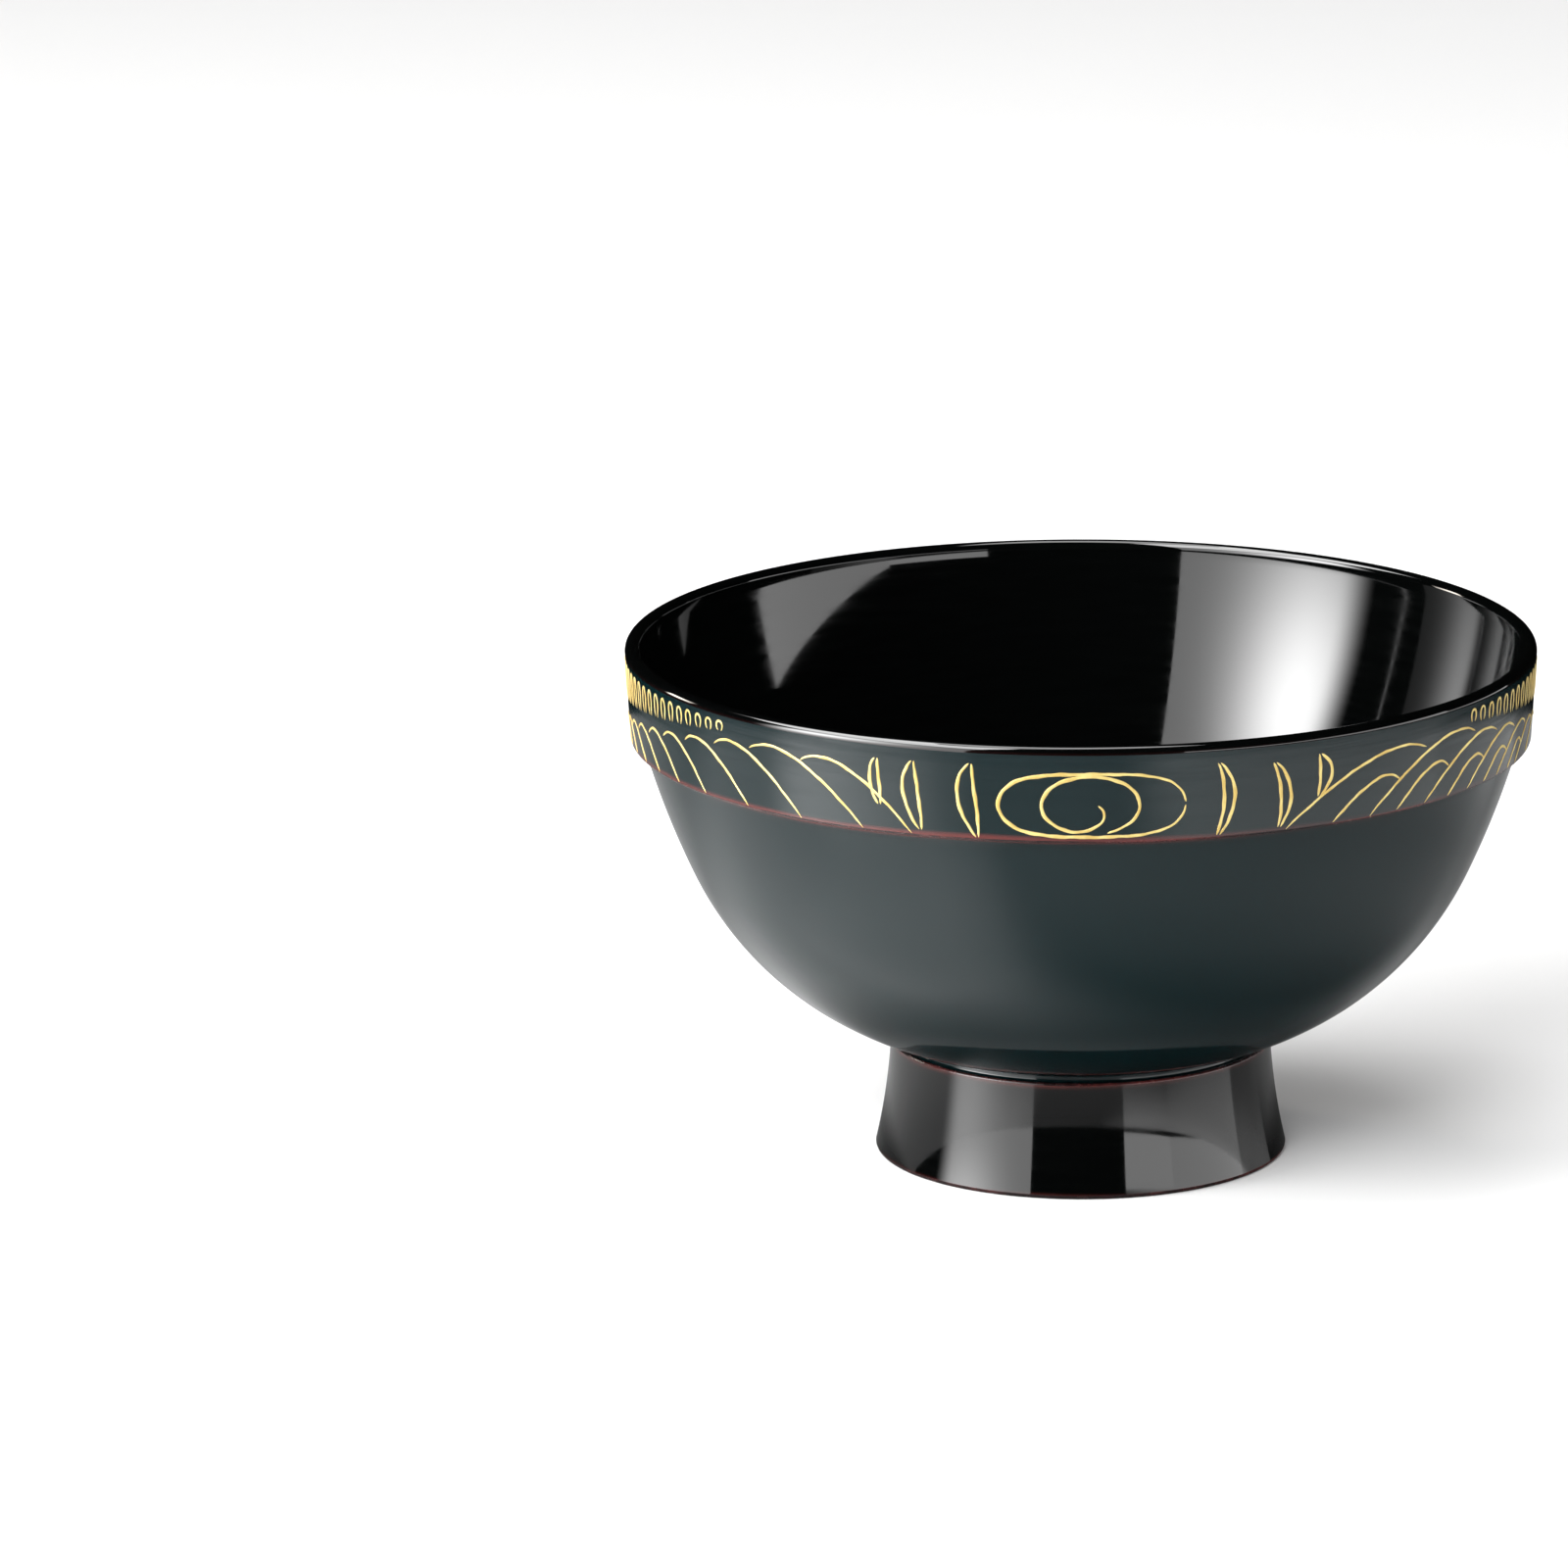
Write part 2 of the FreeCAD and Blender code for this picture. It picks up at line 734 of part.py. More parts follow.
def plume(azimuth, low, high):
    """A narrow loop, pointed below and rounded above."""
    half_foot, half_loop = 0.32, 1.35
    shoulder = (high - 0.25 * low) / 0.75
    poles = [
        (azimuth - half_foot, low),
        (azimuth - half_loop, shoulder),
        (azimuth + half_loop, shoulder),
        (azimuth + half_foot, low),
    ]
    return bezier(poles)


def plume_paths():
    """A row of loops above each wing, longer where the wing's crowns are lower."""
    high, pitch = 67.2, 2.3
    left = {"count": 17, "first": -50.6, "way": -1, "low": 65.9, "lowest": 62.0}
    right = {"count": 14, "first": 57.6, "way": 1, "low": 65.6, "lowest": 62.2}
    paths = []
    for row in (left, right):
        for index in range(row["count"]):
            along = index / (row["count"] - 1)
            low = row["low"] + (row["lowest"] - row["low"]) * along
            paths.append(plume(row["first"] + row["way"] * pitch * index, low, high))
    return paths


subparts = [
    bowl_core(),
    foot_ring(),
    rim_cloth(),
    well_cloth(),
    foot_cloth(),
    inside_lacquer(),
    band_lacquer(),
    body_lacquer(),
    foot_lacquer(),
    recess_lacquer(),
    standing_edge(),
    lip_edge_line(),
    band_edge_line(),
    foot_top_edge_line(),
    foot_base_edge_line(),
    gold("gold_medallions", medallion_paths()),
    gold("gold_spirals", spiral_paths()),
    gold("gold_crescents", [path for shape in CRESCENTS for path in crescent(*shape)]),
    gold("gold_left_feathers", [feather(*shape) for shape in LEFT_FEATHERS]),
    gold("gold_right_long_feathers", [feather(*shape) for shape in RIGHT_LONG_FEATHERS]),
    gold("gold_right_short_feathers", [feather(*shape) for shape in RIGHT_SHORT_FEATHERS]),
    gold("gold_plumes", plume_paths()),
]
document.recompute()

for item in document.Objects:
    if "Invalid" in item.State or "Error" in item.State:
        raise RuntimeError(f"{item.Label} failed: {item.State}")
for subpart in subparts:
    if subpart.Shape.isNull() or not subpart.Shape.isValid():
        raise RuntimeError(f"{subpart.Label} has no valid shape")

os.makedirs("parts", exist_ok=True)
for subpart in subparts:
    subpart.Shape.exportStep(f"parts/{subpart.Label}.step")
    print(subpart.Label, len(subpart.Shape.Solids), round(subpart.Shape.Volume, 2))
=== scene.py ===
import math

import bpy
import numpy as np
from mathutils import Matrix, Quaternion, Vector


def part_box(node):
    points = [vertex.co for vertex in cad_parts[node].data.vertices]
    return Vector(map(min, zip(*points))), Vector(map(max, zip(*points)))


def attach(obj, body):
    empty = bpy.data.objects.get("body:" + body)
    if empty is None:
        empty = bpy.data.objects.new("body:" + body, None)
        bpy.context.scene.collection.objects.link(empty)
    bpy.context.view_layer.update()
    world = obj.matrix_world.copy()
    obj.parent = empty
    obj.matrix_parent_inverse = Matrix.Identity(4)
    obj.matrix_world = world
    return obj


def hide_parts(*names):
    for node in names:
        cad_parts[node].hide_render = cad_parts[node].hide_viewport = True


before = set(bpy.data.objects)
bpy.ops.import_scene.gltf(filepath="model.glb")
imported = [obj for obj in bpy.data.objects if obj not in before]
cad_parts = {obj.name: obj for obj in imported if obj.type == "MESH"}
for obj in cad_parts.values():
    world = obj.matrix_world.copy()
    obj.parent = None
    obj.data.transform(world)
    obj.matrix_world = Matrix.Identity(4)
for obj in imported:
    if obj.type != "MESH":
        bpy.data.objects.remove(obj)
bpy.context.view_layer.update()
mm = 0.001

# ---------------------------------------------------------------------------------------------
# Turned wood: the bowl and its foot, two pieces of close-grained hardwood turned on a lathe.
# The foot is bored for the bowl's spigot and glued on. Both are covered all over by cloth and
# lacquer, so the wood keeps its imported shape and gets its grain.
# ---------------------------------------------------------------------------------------------


class Wire:
    """A shader socket that can be used in a sum: each operator adds the Math node that it names."""

    def __init__(self, recipe, socket):
        self.recipe = recipe
        self.socket = socket

    def maths(self, operation, *others):
        """This value and the others through one Math node."""
        return self.recipe.node("ShaderNodeMath", {"operation": operation}, [self, *others])

    def __add__(self, other):
        return self.maths("ADD", other)

    def __sub__(self, other):
        return self.maths("SUBTRACT", other)

    def __rsub__(self, other):
        return self.recipe.node("ShaderNodeMath", {"operation": "SUBTRACT"}, [other, self])

    def __mul__(self, other):
        return self.maths("MULTIPLY", other)

    def __truediv__(self, other):
        return self.maths("DIVIDE", other)

    def __pow__(self, other):
        return self.maths("POWER", other)

    __radd__ = __add__
    __rmul__ = __mul__


class Recipe:
    """A material in the making: a Principled surface, and one method that adds every other node."""

    def __init__(self, name, **constants):
        self.material = bpy.data.materials.new(name)
        self.material.use_nodes = True
        self.tree = self.material.node_tree
        self.surface = self.tree.nodes["Principled BSDF"]
        for socket, value in constants.items():
            self.surface.inputs[socket.replace("_", " ")].default_value = value

    def node(self, kind, settings, inputs, output=0):
        """Adds a node: its settings first, then its inputs by position or by name."""
        made = self.tree.nodes.new(kind)
        for name, value in settings.items():
            setattr(made, name, value)
        pairs = inputs.items() if isinstance(inputs, dict) else enumerate(inputs)
        for key, value in pairs:
            if isinstance(value, Wire):
                self.tree.links.new(value.socket, made.inputs[key])
            else:
                made.inputs[key].default_value = value
        return Wire(self, made.outputs[output])

    def place(self):
        """Object coordinates in metres, as a vector and as x, y, z."""
        whole = self.node("ShaderNodeTexCoord", {}, [], "Object")
        split = [self.node("ShaderNodeSeparateXYZ", {}, [whole], axis) for axis in "XYZ"]
        return [whole, *split]

    def noise(self, vector, scale, detail=2.0):
        """Soft random patches between 0 and 1, that many to a metre."""
        inputs = {"Vector": vector, "Scale": scale, "Detail": detail}
        return self.node("ShaderNodeTexNoise", {}, inputs, "Fac")

    def stretched(self, vector, scale):
        """The vector with each axis multiplied by its own number."""
        return self.node("ShaderNodeVectorMath", {"operation": "MULTIPLY"}, [vector, scale])

    def ramp(self, value, low, high, out_low=0.0, out_high=1.0):
        """A smooth step from out_low at low to out_high at high."""
        settings = {"interpolation_type": "SMOOTHSTEP"}
        return self.node("ShaderNodeMapRange", settings, [value, low, high, out_low, out_high])

    def mixed(self, factor, first, second):
        """Colour first where factor is 0 and second where it is 1."""
        factor_socket, first_colour, second_colour, colour_out = 0, 6, 7, 2
        inputs = {factor_socket: factor, first_colour: first, second_colour: second}
        return self.node("ShaderNodeMix", {"data_type": "RGBA"}, inputs, colour_out)

    def bump(self, height, distance, strength=1.0):
        """The normal tilted as if the surface rose by the height times the distance."""
        inputs = {"Height": height, "Distance": distance, "Strength": strength}
        return self.node("ShaderNodeBump", {}, inputs)

    def feed(self, socket, wire):
        """Links a value to the surface."""
        self.tree.links.new(wire.socket, self.surface.inputs[socket])


def turned_wood():
    """Grain: rings about the tree's heart, a line along Y under the bowl, broken by long noise.

    The colour follows the sine of the distance from the heart over the ring pitch.
    """
    wood = Recipe("turned_wood", Roughness=0.6)
    vector, x, _, z = wood.place()
    early_wood, late_wood = (0.46, 0.27, 0.13, 1), (0.62, 0.41, 0.22, 1)
    open_pore = (0.3, 0.16, 0.07, 1)
    ring_pitch = 2.2 * mm
    heart_depth = 120 * mm
    tool_feed = 0.5 * mm
    drift = wood.noise(wood.stretched(vector, (1.0, 0.18, 1.0)), 60.0, 3.0)
    from_heart = (x * x + (z + heart_depth) * (z + heart_depth)) ** 0.5
    rings = (from_heart / ring_pitch + drift * 1.6).maths("SINE")
    pores = wood.noise(wood.stretched(vector, (1.0, 0.05, 1.0)), 1800.0)
    grain = wood.mixed(wood.ramp(rings * 0.5 + 0.5, 0.1, 0.95), early_wood, late_wood)
    wood.feed("Base Color", wood.mixed(wood.ramp(pores, 0.6, 0.72, 0.0, 0.6), grain, open_pore))
    lathe_marks = ((z / tool_feed) * (2 * math.pi)).maths("SINE")
    wood.feed("Normal", wood.bump(lathe_marks + pores * 0.5, 0.01 * mm))
    return wood.material


def dress(node, material):
    """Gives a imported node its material."""
    for material_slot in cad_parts[node].material_slots:
        material_slot.material = material


wood_material = turned_wood()
for wooden in ("bowl_core", "foot_ring"):
    dress(wooden, wood_material)

# ---------------------------------------------------------------------------------------------
# Hemp cloth: strips and a disc of loose plain weave, pasted on with lacquer where a bowl takes
# its knocks: round the rim, in the well and round the foot. The coats hide it.
# ---------------------------------------------------------------------------------------------


def hemp_cloth():
    """Plain weave: warp and weft waves that take turns on top, as the sign of their product."""
    hemp = Recipe("hemp_cloth", Roughness=0.85)
    vector, x, y, z = hemp.place()
    thread = 0.9 * mm
    usual_radius = 50 * mm
    round_way = y.maths("ARCTAN2", x) * (usual_radius / thread)
    cross_way = ((x * x + y * y) ** 0.5 + z) / thread
    warp = (round_way * math.pi).maths("SINE")
    weft = (cross_way * math.pi).maths("SINE")
    weave = warp * weft
    slubs = hemp.noise(vector, 900.0, 3.0)
    straw, lacquer_soaked = (0.48, 0.38, 0.22, 1), (0.12, 0.06, 0.04, 1)
    hemp.feed("Base Color", hemp.mixed(hemp.ramp(weave + slubs, 0.0, 1.2), lacquer_soaked, straw))
    hemp.feed("Normal", hemp.bump(weave + slubs * 0.4, 0.12 * mm))
    return hemp.material


cloth_material = hemp_cloth()
for strip in ("rim_cloth", "well_cloth", "foot_cloth"):
    dress(strip, cloth_material)

# ---------------------------------------------------------------------------------------------
# Body coat: the outside of the bowl under the band, the neck and the ledge of the foot. Black
# lacquer laid by brush over the ground, rubbed level with charcoal and polished, so that faint
# level marks stay in the gloss.
# ---------------------------------------------------------------------------------------------

coat = 0.25 * mm
swell_angle = 25.0
side_arc = 114 * mm
belly_arc = 43.2 * mm
belly_centre = np.array([12.24, 57.3]) * mm
swell_way = np.array([math.cos(math.radians(swell_angle)), -math.sin(math.radians(swell_angle))])
side_centre = belly_centre - (side_arc - belly_arc) * swell_way
band_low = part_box("band_edge_line")[0].z
band_low_radius = 59.35 * mm
edge_wear = 0.3 * mm
neck_radius = 24.2 * mm
foot_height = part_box("foot_top_edge_line")[1].z
foot_top_radius = 25.18 * mm
once_round = np.linspace(0, 2 * np.pi, 576, endpoint=False)


def arc(centre, radius, start, stop, count):
    """Half-section points at even angles round a circle, in degrees above the outward direction."""
    angle = np.radians(np.linspace(start, stop, count))
    return np.column_stack([centre[0] + radius * np.cos(angle), centre[1] + radius * np.sin(angle)])


def angle_at_height(centre, radius, height):
    """Where the circle is at a height: the arc sine of the rise over the radius."""
    return math.degrees(math.asin((height - centre[1]) / radius))


def angle_at_radius(centre, radius, distance):
    """Where the circle's lower half is at a distance from the axis, by the arc cosine."""
    return -math.degrees(math.acos((distance - centre[0]) / radius))


def turned(name, outline, node, material):
    """A closed half-section turned about +Z. Point (i, j) is (r_i sin a_j, -r_i cos a_j, z_i).

    The outline runs right round the section, or from the axis to the axis, where each end is a pole.
    """
    outline = np.asarray(outline, dtype=float)
    following = np.roll(outline, -1, axis=0)
    area = np.sum(outline[:, 0] * following[:, 1] - following[:, 0] * outline[:, 1])
    if area < 0:
        outline = outline[::-1]
    on_axis = 1e-9
    has_poles = bool((outline[:, 0] < on_axis).any())
    if has_poles:
        poles, outline = outline[[0, -1]], outline[1:-1]
    rings, around = len(outline), len(once_round)
    radius, height = outline[:, :1], outline[:, 1:]
    points = [radius * np.sin(once_round), -radius * np.cos(once_round), height + 0 * once_round]
    points = np.stack(points, axis=-1).reshape(-1, 3)
    last = rings - 1 if has_poles else rings
    row = np.arange(last)[:, None]
    column = np.arange(around)[None, :]
    next_row, next_column = (row + 1) % rings, (column + 1) % around
    quads = [
        row * around + column,
        row * around + next_column,
        next_row * around + next_column,
        next_row * around + column,
    ]
    faces = np.stack(quads, axis=-1).reshape(-1, 4).tolist()
    if has_poles:
        first_pole = np.full(around, len(points))
        points = np.vstack([points, [[0, 0, poles[0, 1]], [0, 0, poles[1, 1]]]])
        here, following = column[0], next_column[0]
        rim = (rings - 1) * around
        faces += np.column_stack([first_pole, following, here]).tolist()
        faces += np.column_stack([first_pole + 1, rim + here, rim + following]).tolist()
    return piece(name, points, faces, node, material)


def piece(name, points, faces, node, material):
    """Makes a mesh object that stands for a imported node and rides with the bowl."""
    mesh = bpy.data.meshes.new(name)
    mesh.from_pydata(points.tolist(), [], faces)
    mesh.shade_smooth()
    sharpest_smooth_bend = math.radians(32)
    mesh.set_sharp_from_angle(angle=sharpest_smooth_bend)
    mesh.materials.append(material)
    made = bpy.data.objects.new(name, mesh)
    bpy.context.scene.collection.objects.link(made)
    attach(made, "root")
    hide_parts(node)
    return made


deep_black, thin_black = (0.001, 0.0055, 0.0065, 1), (0.0014, 0.0075, 0.0085, 1)
undercoat_showing = (0.085, 0.019, 0.017, 1)


def body_black():
    """Polished lacquer with level marks, rubbed through to the undercoat along its top edge.

    The wear is a smooth step in height, moved up and down by noise, and fades towards +X.
    """
    body = Recipe("body_black_lacquer", Specular_IOR_Level=0.5)
    vector, x, _, z = body.place()
    level_marks = body.noise(body.stretched(vector, (1.0, 1.0, 26.0)), 42.0, 4.0)
    cloudiness = body.noise(vector, 24.0, 2.0)
    black = body.mixed(cloudiness, deep_black, thin_black)
    raggedness = body.noise(vector, 40.0, 3.0) * (0.8 * mm)
    one_side = body.ramp(x, -15 * mm, 35 * mm, 0.9, 0.15)
    near_band = body.ramp(z + raggedness, band_low - 0.5 * mm, band_low + 0.2 * mm) * one_side
    body.feed("Base Color", body.mixed(near_band, black, undercoat_showing))
    body.feed("Roughness", body.ramp(level_marks * 0.6 + cloudiness * 0.4, 0.3, 0.7, 0.06, 0.1))
    body.feed("Normal", body.bump(level_marks, 0.004 * mm))
    return body.material


def body_outline():
    """Ledge, neck, belly and side arcs, the ledge under the band, then back inside the coat."""
    neck_turn = angle_at_radius(belly_centre, belly_arc, neck_radius)
    band_turn = angle_at_height(side_centre, side_arc, band_low)
    back_neck = angle_at_radius(belly_centre, belly_arc - coat, neck_radius - coat)
    back_band = angle_at_height(side_centre, side_arc - coat, band_low + coat)
    side_top_radius = side_centre[0] + side_arc * math.cos(math.radians(band_turn))
    seat = foot_height - coat
    hollow = 0.25 * mm
    ledge_radius = foot_top_radius - edge_wear
    band_edge_radius = band_low_radius - edge_wear
    return np.vstack(
        [
            [[ledge_radius, seat], [ledge_radius, foot_height]],
            arc((neck_radius + hollow, foot_height + hollow), hollow, -90, -180, 5),
            arc(belly_centre, belly_arc, neck_turn, -swell_angle, 46)[:-1],
            arc(side_centre, side_arc, -swell_angle, band_turn, 26)[:-1],
            arc((side_top_radius + hollow, band_low - hollow), hollow, 180, 90, 5),
            [[band_edge_radius, band_low], [band_edge_radius, band_low + coat]],
            arc(side_centre, side_arc - coat, back_band, -swell_angle, 16)[:-1],
            arc(belly_centre, belly_arc - coat, -swell_angle, back_neck, 26),
            [[neck_radius - coat, seat]],
        ]
    )


turned("body_coat", body_outline(), "body_lacquer", body_black())

# ---------------------------------------------------------------------------------------------
# Gloss coats: the foot, the hollow under it, the inside and the lip. The last coat of black is
# polished with oil and fine powder until it mirrors, with only a slow swell in the reflection.
# ---------------------------------------------------------------------------------------------

flare_arc = 80 * mm
flare_centre_height = 19.0 * mm
base_wear = 0.6 * mm
flare_reach = math.sqrt(flare_arc**2 - (flare_centre_height - foot_height) ** 2)
flare_centre = np.array([foot_top_radius + flare_reach, flare_centre_height])
recess_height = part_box("recess_lacquer")[1].z - coat
recess_top_radius = 21.5 * mm
recess_base_radius = 23.5 * mm
standing_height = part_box("standing_edge")[1].z
bowl_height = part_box("inside_lacquer")[1].z
mouth_radius = 60 * mm
lip_round = 1.0 * mm
lip_centre = np.array([mouth_radius - lip_round, bowl_height - lip_round])
wall = 2.4 * mm
inner_side_arc = side_arc - wall
well_arc = 34.5 * mm
well_centre = side_centre + (inner_side_arc - well_arc) * swell_way


def flare(depth, height):
    """Radius of the foot's hollow outside at a height, that deep in its coat."""
    return flare_centre[0] - np.sqrt((flare_arc + depth) ** 2 - (flare_centre[1] - height) ** 2)


def recess(height):
    """Radius of the sloping wall under the foot."""
    return recess_base_radius + (recess_top_radius - recess_base_radius) * height / recess_height


def gloss_black(name, worn_edges=()):
    """Polished lacquer: near-black, with a slow swell, and edges worn towards the undercoat.

    Each worn edge is the height of the edge, how far the wear reaches, and how strong it is.
    """
    gloss = Recipe(name, Specular_IOR_Level=0.5)
    vector, _, _, z = gloss.place()
    darkest, dark = (0.0004, 0.0005, 0.0005, 1), (0.0009, 0.0011, 0.0011, 1)
    worn_brown = (0.1, 0.02, 0.017, 1)
    swell = gloss.noise(vector, 16.0, 1.0)
    rub = gloss.noise(gloss.stretched(vector, (1.0, 1.0, 9.0)), 110.0, 2.0)
    colour = gloss.mixed(rub, darkest, dark)
    for edge, reach, strength in worn_edges:
        patches = gloss.noise(vector, 45.0, 3.0)
        distance = (z - edge).maths("ABSOLUTE") + (patches - 0.5) * (reach * 0.8)
        worn = gloss.ramp(distance, 0.0, reach, strength, 0.0)
        colour = gloss.mixed(worn, colour, worn_brown)
    gloss.feed("Base Color", colour)
    gloss.feed("Roughness", gloss.ramp(rub, 0.3, 0.7, 0.035, 0.06))
    gloss.feed("Normal", gloss.bump(swell, 0.05 * mm, 0.5))
    return gloss.material


def inside_outline():
    """Well floor, well arc, side arc, and round the lip to its outer shoulder; then back inside."""
    side_top = angle_at_height(side_centre, inner_side_arc, lip_centre[1])
    back_top = angle_at_height(side_centre, inner_side_arc + coat, lip_centre[1])
    floor = well_centre[1] - well_arc
    across_floor = np.linspace(3 * mm, well_centre[0], 7)[:-1]
    return np.vstack(
        [
            [[0, floor]],
            np.column_stack([across_floor, np.full_like(across_floor, floor)]),
            arc(well_centre, well_arc, -90, -swell_angle, 44)[:-1],
            arc(side_centre, inner_side_arc, -swell_angle, side_top, 28)[:-1],
            arc(lip_centre, lip_round, 180, 45, 22),
            arc(lip_centre, lip_round - coat, 45, 180, 16)[:-1],
            arc(side_centre, inner_side_arc + coat, back_top, -swell_angle, 14)[:-1],
            arc(well_centre, well_arc + coat, -swell_angle, -90, 22),
            [[0, floor - coat]],
        ]
    )


def foot_outline():
    """The flare between the two worn edges, and back down a coat's thickness inside it."""
    heights = np.linspace(base_wear, foot_height - edge_wear, 28)
    back = heights[::-3]
    outside = np.column_stack([flare(0, heights), heights])
    return np.vstack([outside, np.column_stack([flare(coat, back), back])])


def recess_outline():
    """Ceiling, a softened corner, and the sloping wall; then back inside the coat."""
    bend = 1.2 * mm
    corner = (recess_top_radius - bend, recess_height - bend)
    first_ring = 4 * mm
    back_height = recess_height + coat
    return np.vstack(
        [
            [[0, back_height], [first_ring, back_height], [recess_top_radius + coat, back_height]],
            [[recess(standing_height) + coat, standing_height]],
            [[recess(standing_height), standing_height]],
            arc(corner, bend, -8, 90, 9),
            [[first_ring, recess_height], [0, recess_height]],
        ]
    )


foot_material = gloss_black("foot_gloss", [(0.0, 0.9 * mm, 0.5), (foot_height, 1.0 * mm, 0.5)])
for name, outline, node, material in (
    ("foot_coat", foot_outline(), "foot_lacquer", foot_material),
    ("recess_coat", recess_outline(), "recess_lacquer", foot_material),
    ("inside_coat", inside_outline(), "inside_lacquer", gloss_black("inside_gloss")),
):
    turned(name, outline, node, material)

# ---------------------------------------------------------------------------------------------
# The raised band's face: black lacquer over the rim cloth, polished a little less than the rest
# so that the gold reads, and thinned by rubbing along its lower edge.
# ---------------------------------------------------------------------------------------------


def band_face(height):
    """Radius of the band's sloping face."""
    rise = (height - band_low) / (lip_centre[1] - band_low)
    return band_low_radius + (mouth_radius - band_low_radius) * rise


def band_black():
    """Gloss lacquer with faint level marks, red-brown where the lower edge is rubbed."""
    band = Recipe("band_black_lacquer", Specular_IOR_Level=0.5)
    vector, x, _, z = band.place()
    marks = band.noise(band.stretched(vector, (1.0, 1.0, 20.0)), 60.0, 3.0)
    cloudiness = band.noise(vector, 30.0, 2.0)
    black = band.mixed(cloudiness, deep_black, thin_black)
    patches = band.noise(vector, 40.0, 3.0)
    height = z - band_low + (patches - 0.5) * (0.8 * mm)
    one_side = band.ramp(x, -15 * mm, 35 * mm, 0.8, 0.25)
    rubbed = band.ramp(height, 0.3 * mm, 1.0 * mm, 1.0, 0.0) * one_side
    band.feed("Base Color", band.mixed(rubbed, black, undercoat_showing))
    band.feed("Roughness", band.ramp(marks, 0.3, 0.7, 0.08, 0.13))
    band.feed("Normal", band.bump(marks, 0.003 * mm))
    return band.material


def band_outline():
    """The sloping face from the worn edge to the lip, and back down inside the coat."""
    heights = np.linspace(band_low + edge_wear, lip_centre[1], 12)
    face = np.column_stack([band_face(heights), heights])
    return np.vstack([face, (face - [coat, 0])[::-1]])


turned("band_coat", band_outline(), "band_lacquer", band_black())

# ---------------------------------------------------------------------------------------------
# The standing ring: hard ground of clay and lacquer that the bowl rests on, worn smooth and
# a little brown by tables.
# ---------------------------------------------------------------------------------------------


def worn_ground():
    """Dark ground with coarse grit and rub marks that run round the ring."""
    ground = Recipe("worn_ground", Roughness=0.5)
    vector, x, y, z = ground.place()
    clay, pale_grit = (0.014, 0.012, 0.011, 1), (0.05, 0.036, 0.03, 1)
    rubbed_brown = (0.09, 0.04, 0.03, 1)
    grit = ground.noise(vector, 1400.0, 3.0)
    radius = (x * x + y * y) ** 0.5
    round_way = ground.node("ShaderNodeCombineXYZ", {}, [radius * 30.0, z, x * 0.4])
    rubbing = ground.noise(round_way, 60.0, 3.0)
    gritty = ground.mixed(ground.ramp(grit, 0.45, 0.7), clay, pale_grit)
    rubbed = ground.ramp(rubbing, 0.5, 0.8, 0.0, 0.5)
    ground.feed("Base Color", ground.mixed(rubbed, gritty, rubbed_brown))
    ground.feed("Roughness", ground.ramp(rubbing, 0.3, 0.8, 0.55, 0.3))
    ground.feed("Normal", ground.bump(grit, 0.03 * mm))
    return ground.material


base_radius = float(flare(0, 0.0))


def standing_outline():
    """A rounded inner edge, the flat that stands, and up behind the worn edge and the foot's coat."""
    side = np.linspace(coat, standing_height, 4)
    inner_edge = 0.3 * mm
    return np.vstack(
        [
            arc((recess(0) + inner_edge, inner_edge), inner_edge, 180, 270, 5),
            [[base_radius - base_wear, 0.0], [base_radius - base_wear, coat]],
            np.column_stack([flare(coat, side), side]),
            [[recess(standing_height), standing_height]],
        ]
    )


turned("standing_ring", standing_outline(), "standing_edge", worn_ground())

# ---------------------------------------------------------------------------------------------
# Red-brown undercoat: the coat below the black, which shows where edges are rubbed through. Each
# line is a small rounded ring in the corner between two coats.
# ---------------------------------------------------------------------------------------------


def rubbed_undercoat():
    """Red-brown lacquer, with black still in its hollows."""
    brown = Recipe("rubbed_undercoat", Specular_IOR_Level=0.5)
    vector = brown.place()[0]
    black_left, bare_brown = (0.007, 0.003, 0.003, 1), (0.075, 0.016, 0.015, 1)
    patches = brown.noise(vector, 55.0, 4.0)
    fine = brown.noise(vector, 700.0, 2.0)
    bare = brown.ramp(patches + fine * 0.25, 0.55, 0.85)
    brown.feed("Base Color", brown.mixed(bare, black_left, bare_brown))
    brown.feed("Roughness", brown.ramp(fine, 0.3, 0.7, 0.18, 0.3))
    brown.feed("Normal", brown.bump(fine, 0.01 * mm))
    return brown.material


def corner_outline(radius, height, wall, up, wear):
    """A quarter round between a level coat and a wall, with the coat's thickness behind it.

    up is 1 at the foot of a wall and -1 at its top; wall(depth, height) gives the wall's radius.
    """
    end = height + wear * up
    start_way = -90 if up > 0 else 90
    rounded = arc((wall(0, end) - wear, end), wear, start_way, 0, 8)
    behind = [
        [wall(coat, end), end],
        [wall(coat, height + coat * up), height + coat * up],
        [radius - wear, height + coat * up],
        [radius - wear, height],
    ]
    return np.vstack([rounded, behind])


def band_wall(depth, height):
    """The band's face, that deep in its coat."""
    return band_face(height) - depth


# The lip's line is still under a thin black, so it has the gloss with a trace of brown in it.
lip_material = gloss_black("lip_gloss", [(lip_centre[1] + 0.1 * mm, 0.3 * mm, 0.03)])
lip_behind = arc(lip_centre, lip_round - coat, 45, 0, 6)
lip_shoulder = np.vstack([arc(lip_centre, lip_round, 0, 45, 9), lip_behind])
turned("lip_edge", lip_shoulder, "lip_edge_line", lip_material)

undercoat = rubbed_undercoat()
corners = {
    "band_edge": (band_low_radius, band_low, band_wall, 1, edge_wear),
    "foot_top_edge": (foot_top_radius, foot_height, flare, -1, edge_wear),
    "foot_base_edge": (base_radius, 0.0, flare, 1, base_wear),
}
for name, corner in corners.items():
    turned(name, corner_outline(*corner), name + "_line", undercoat)

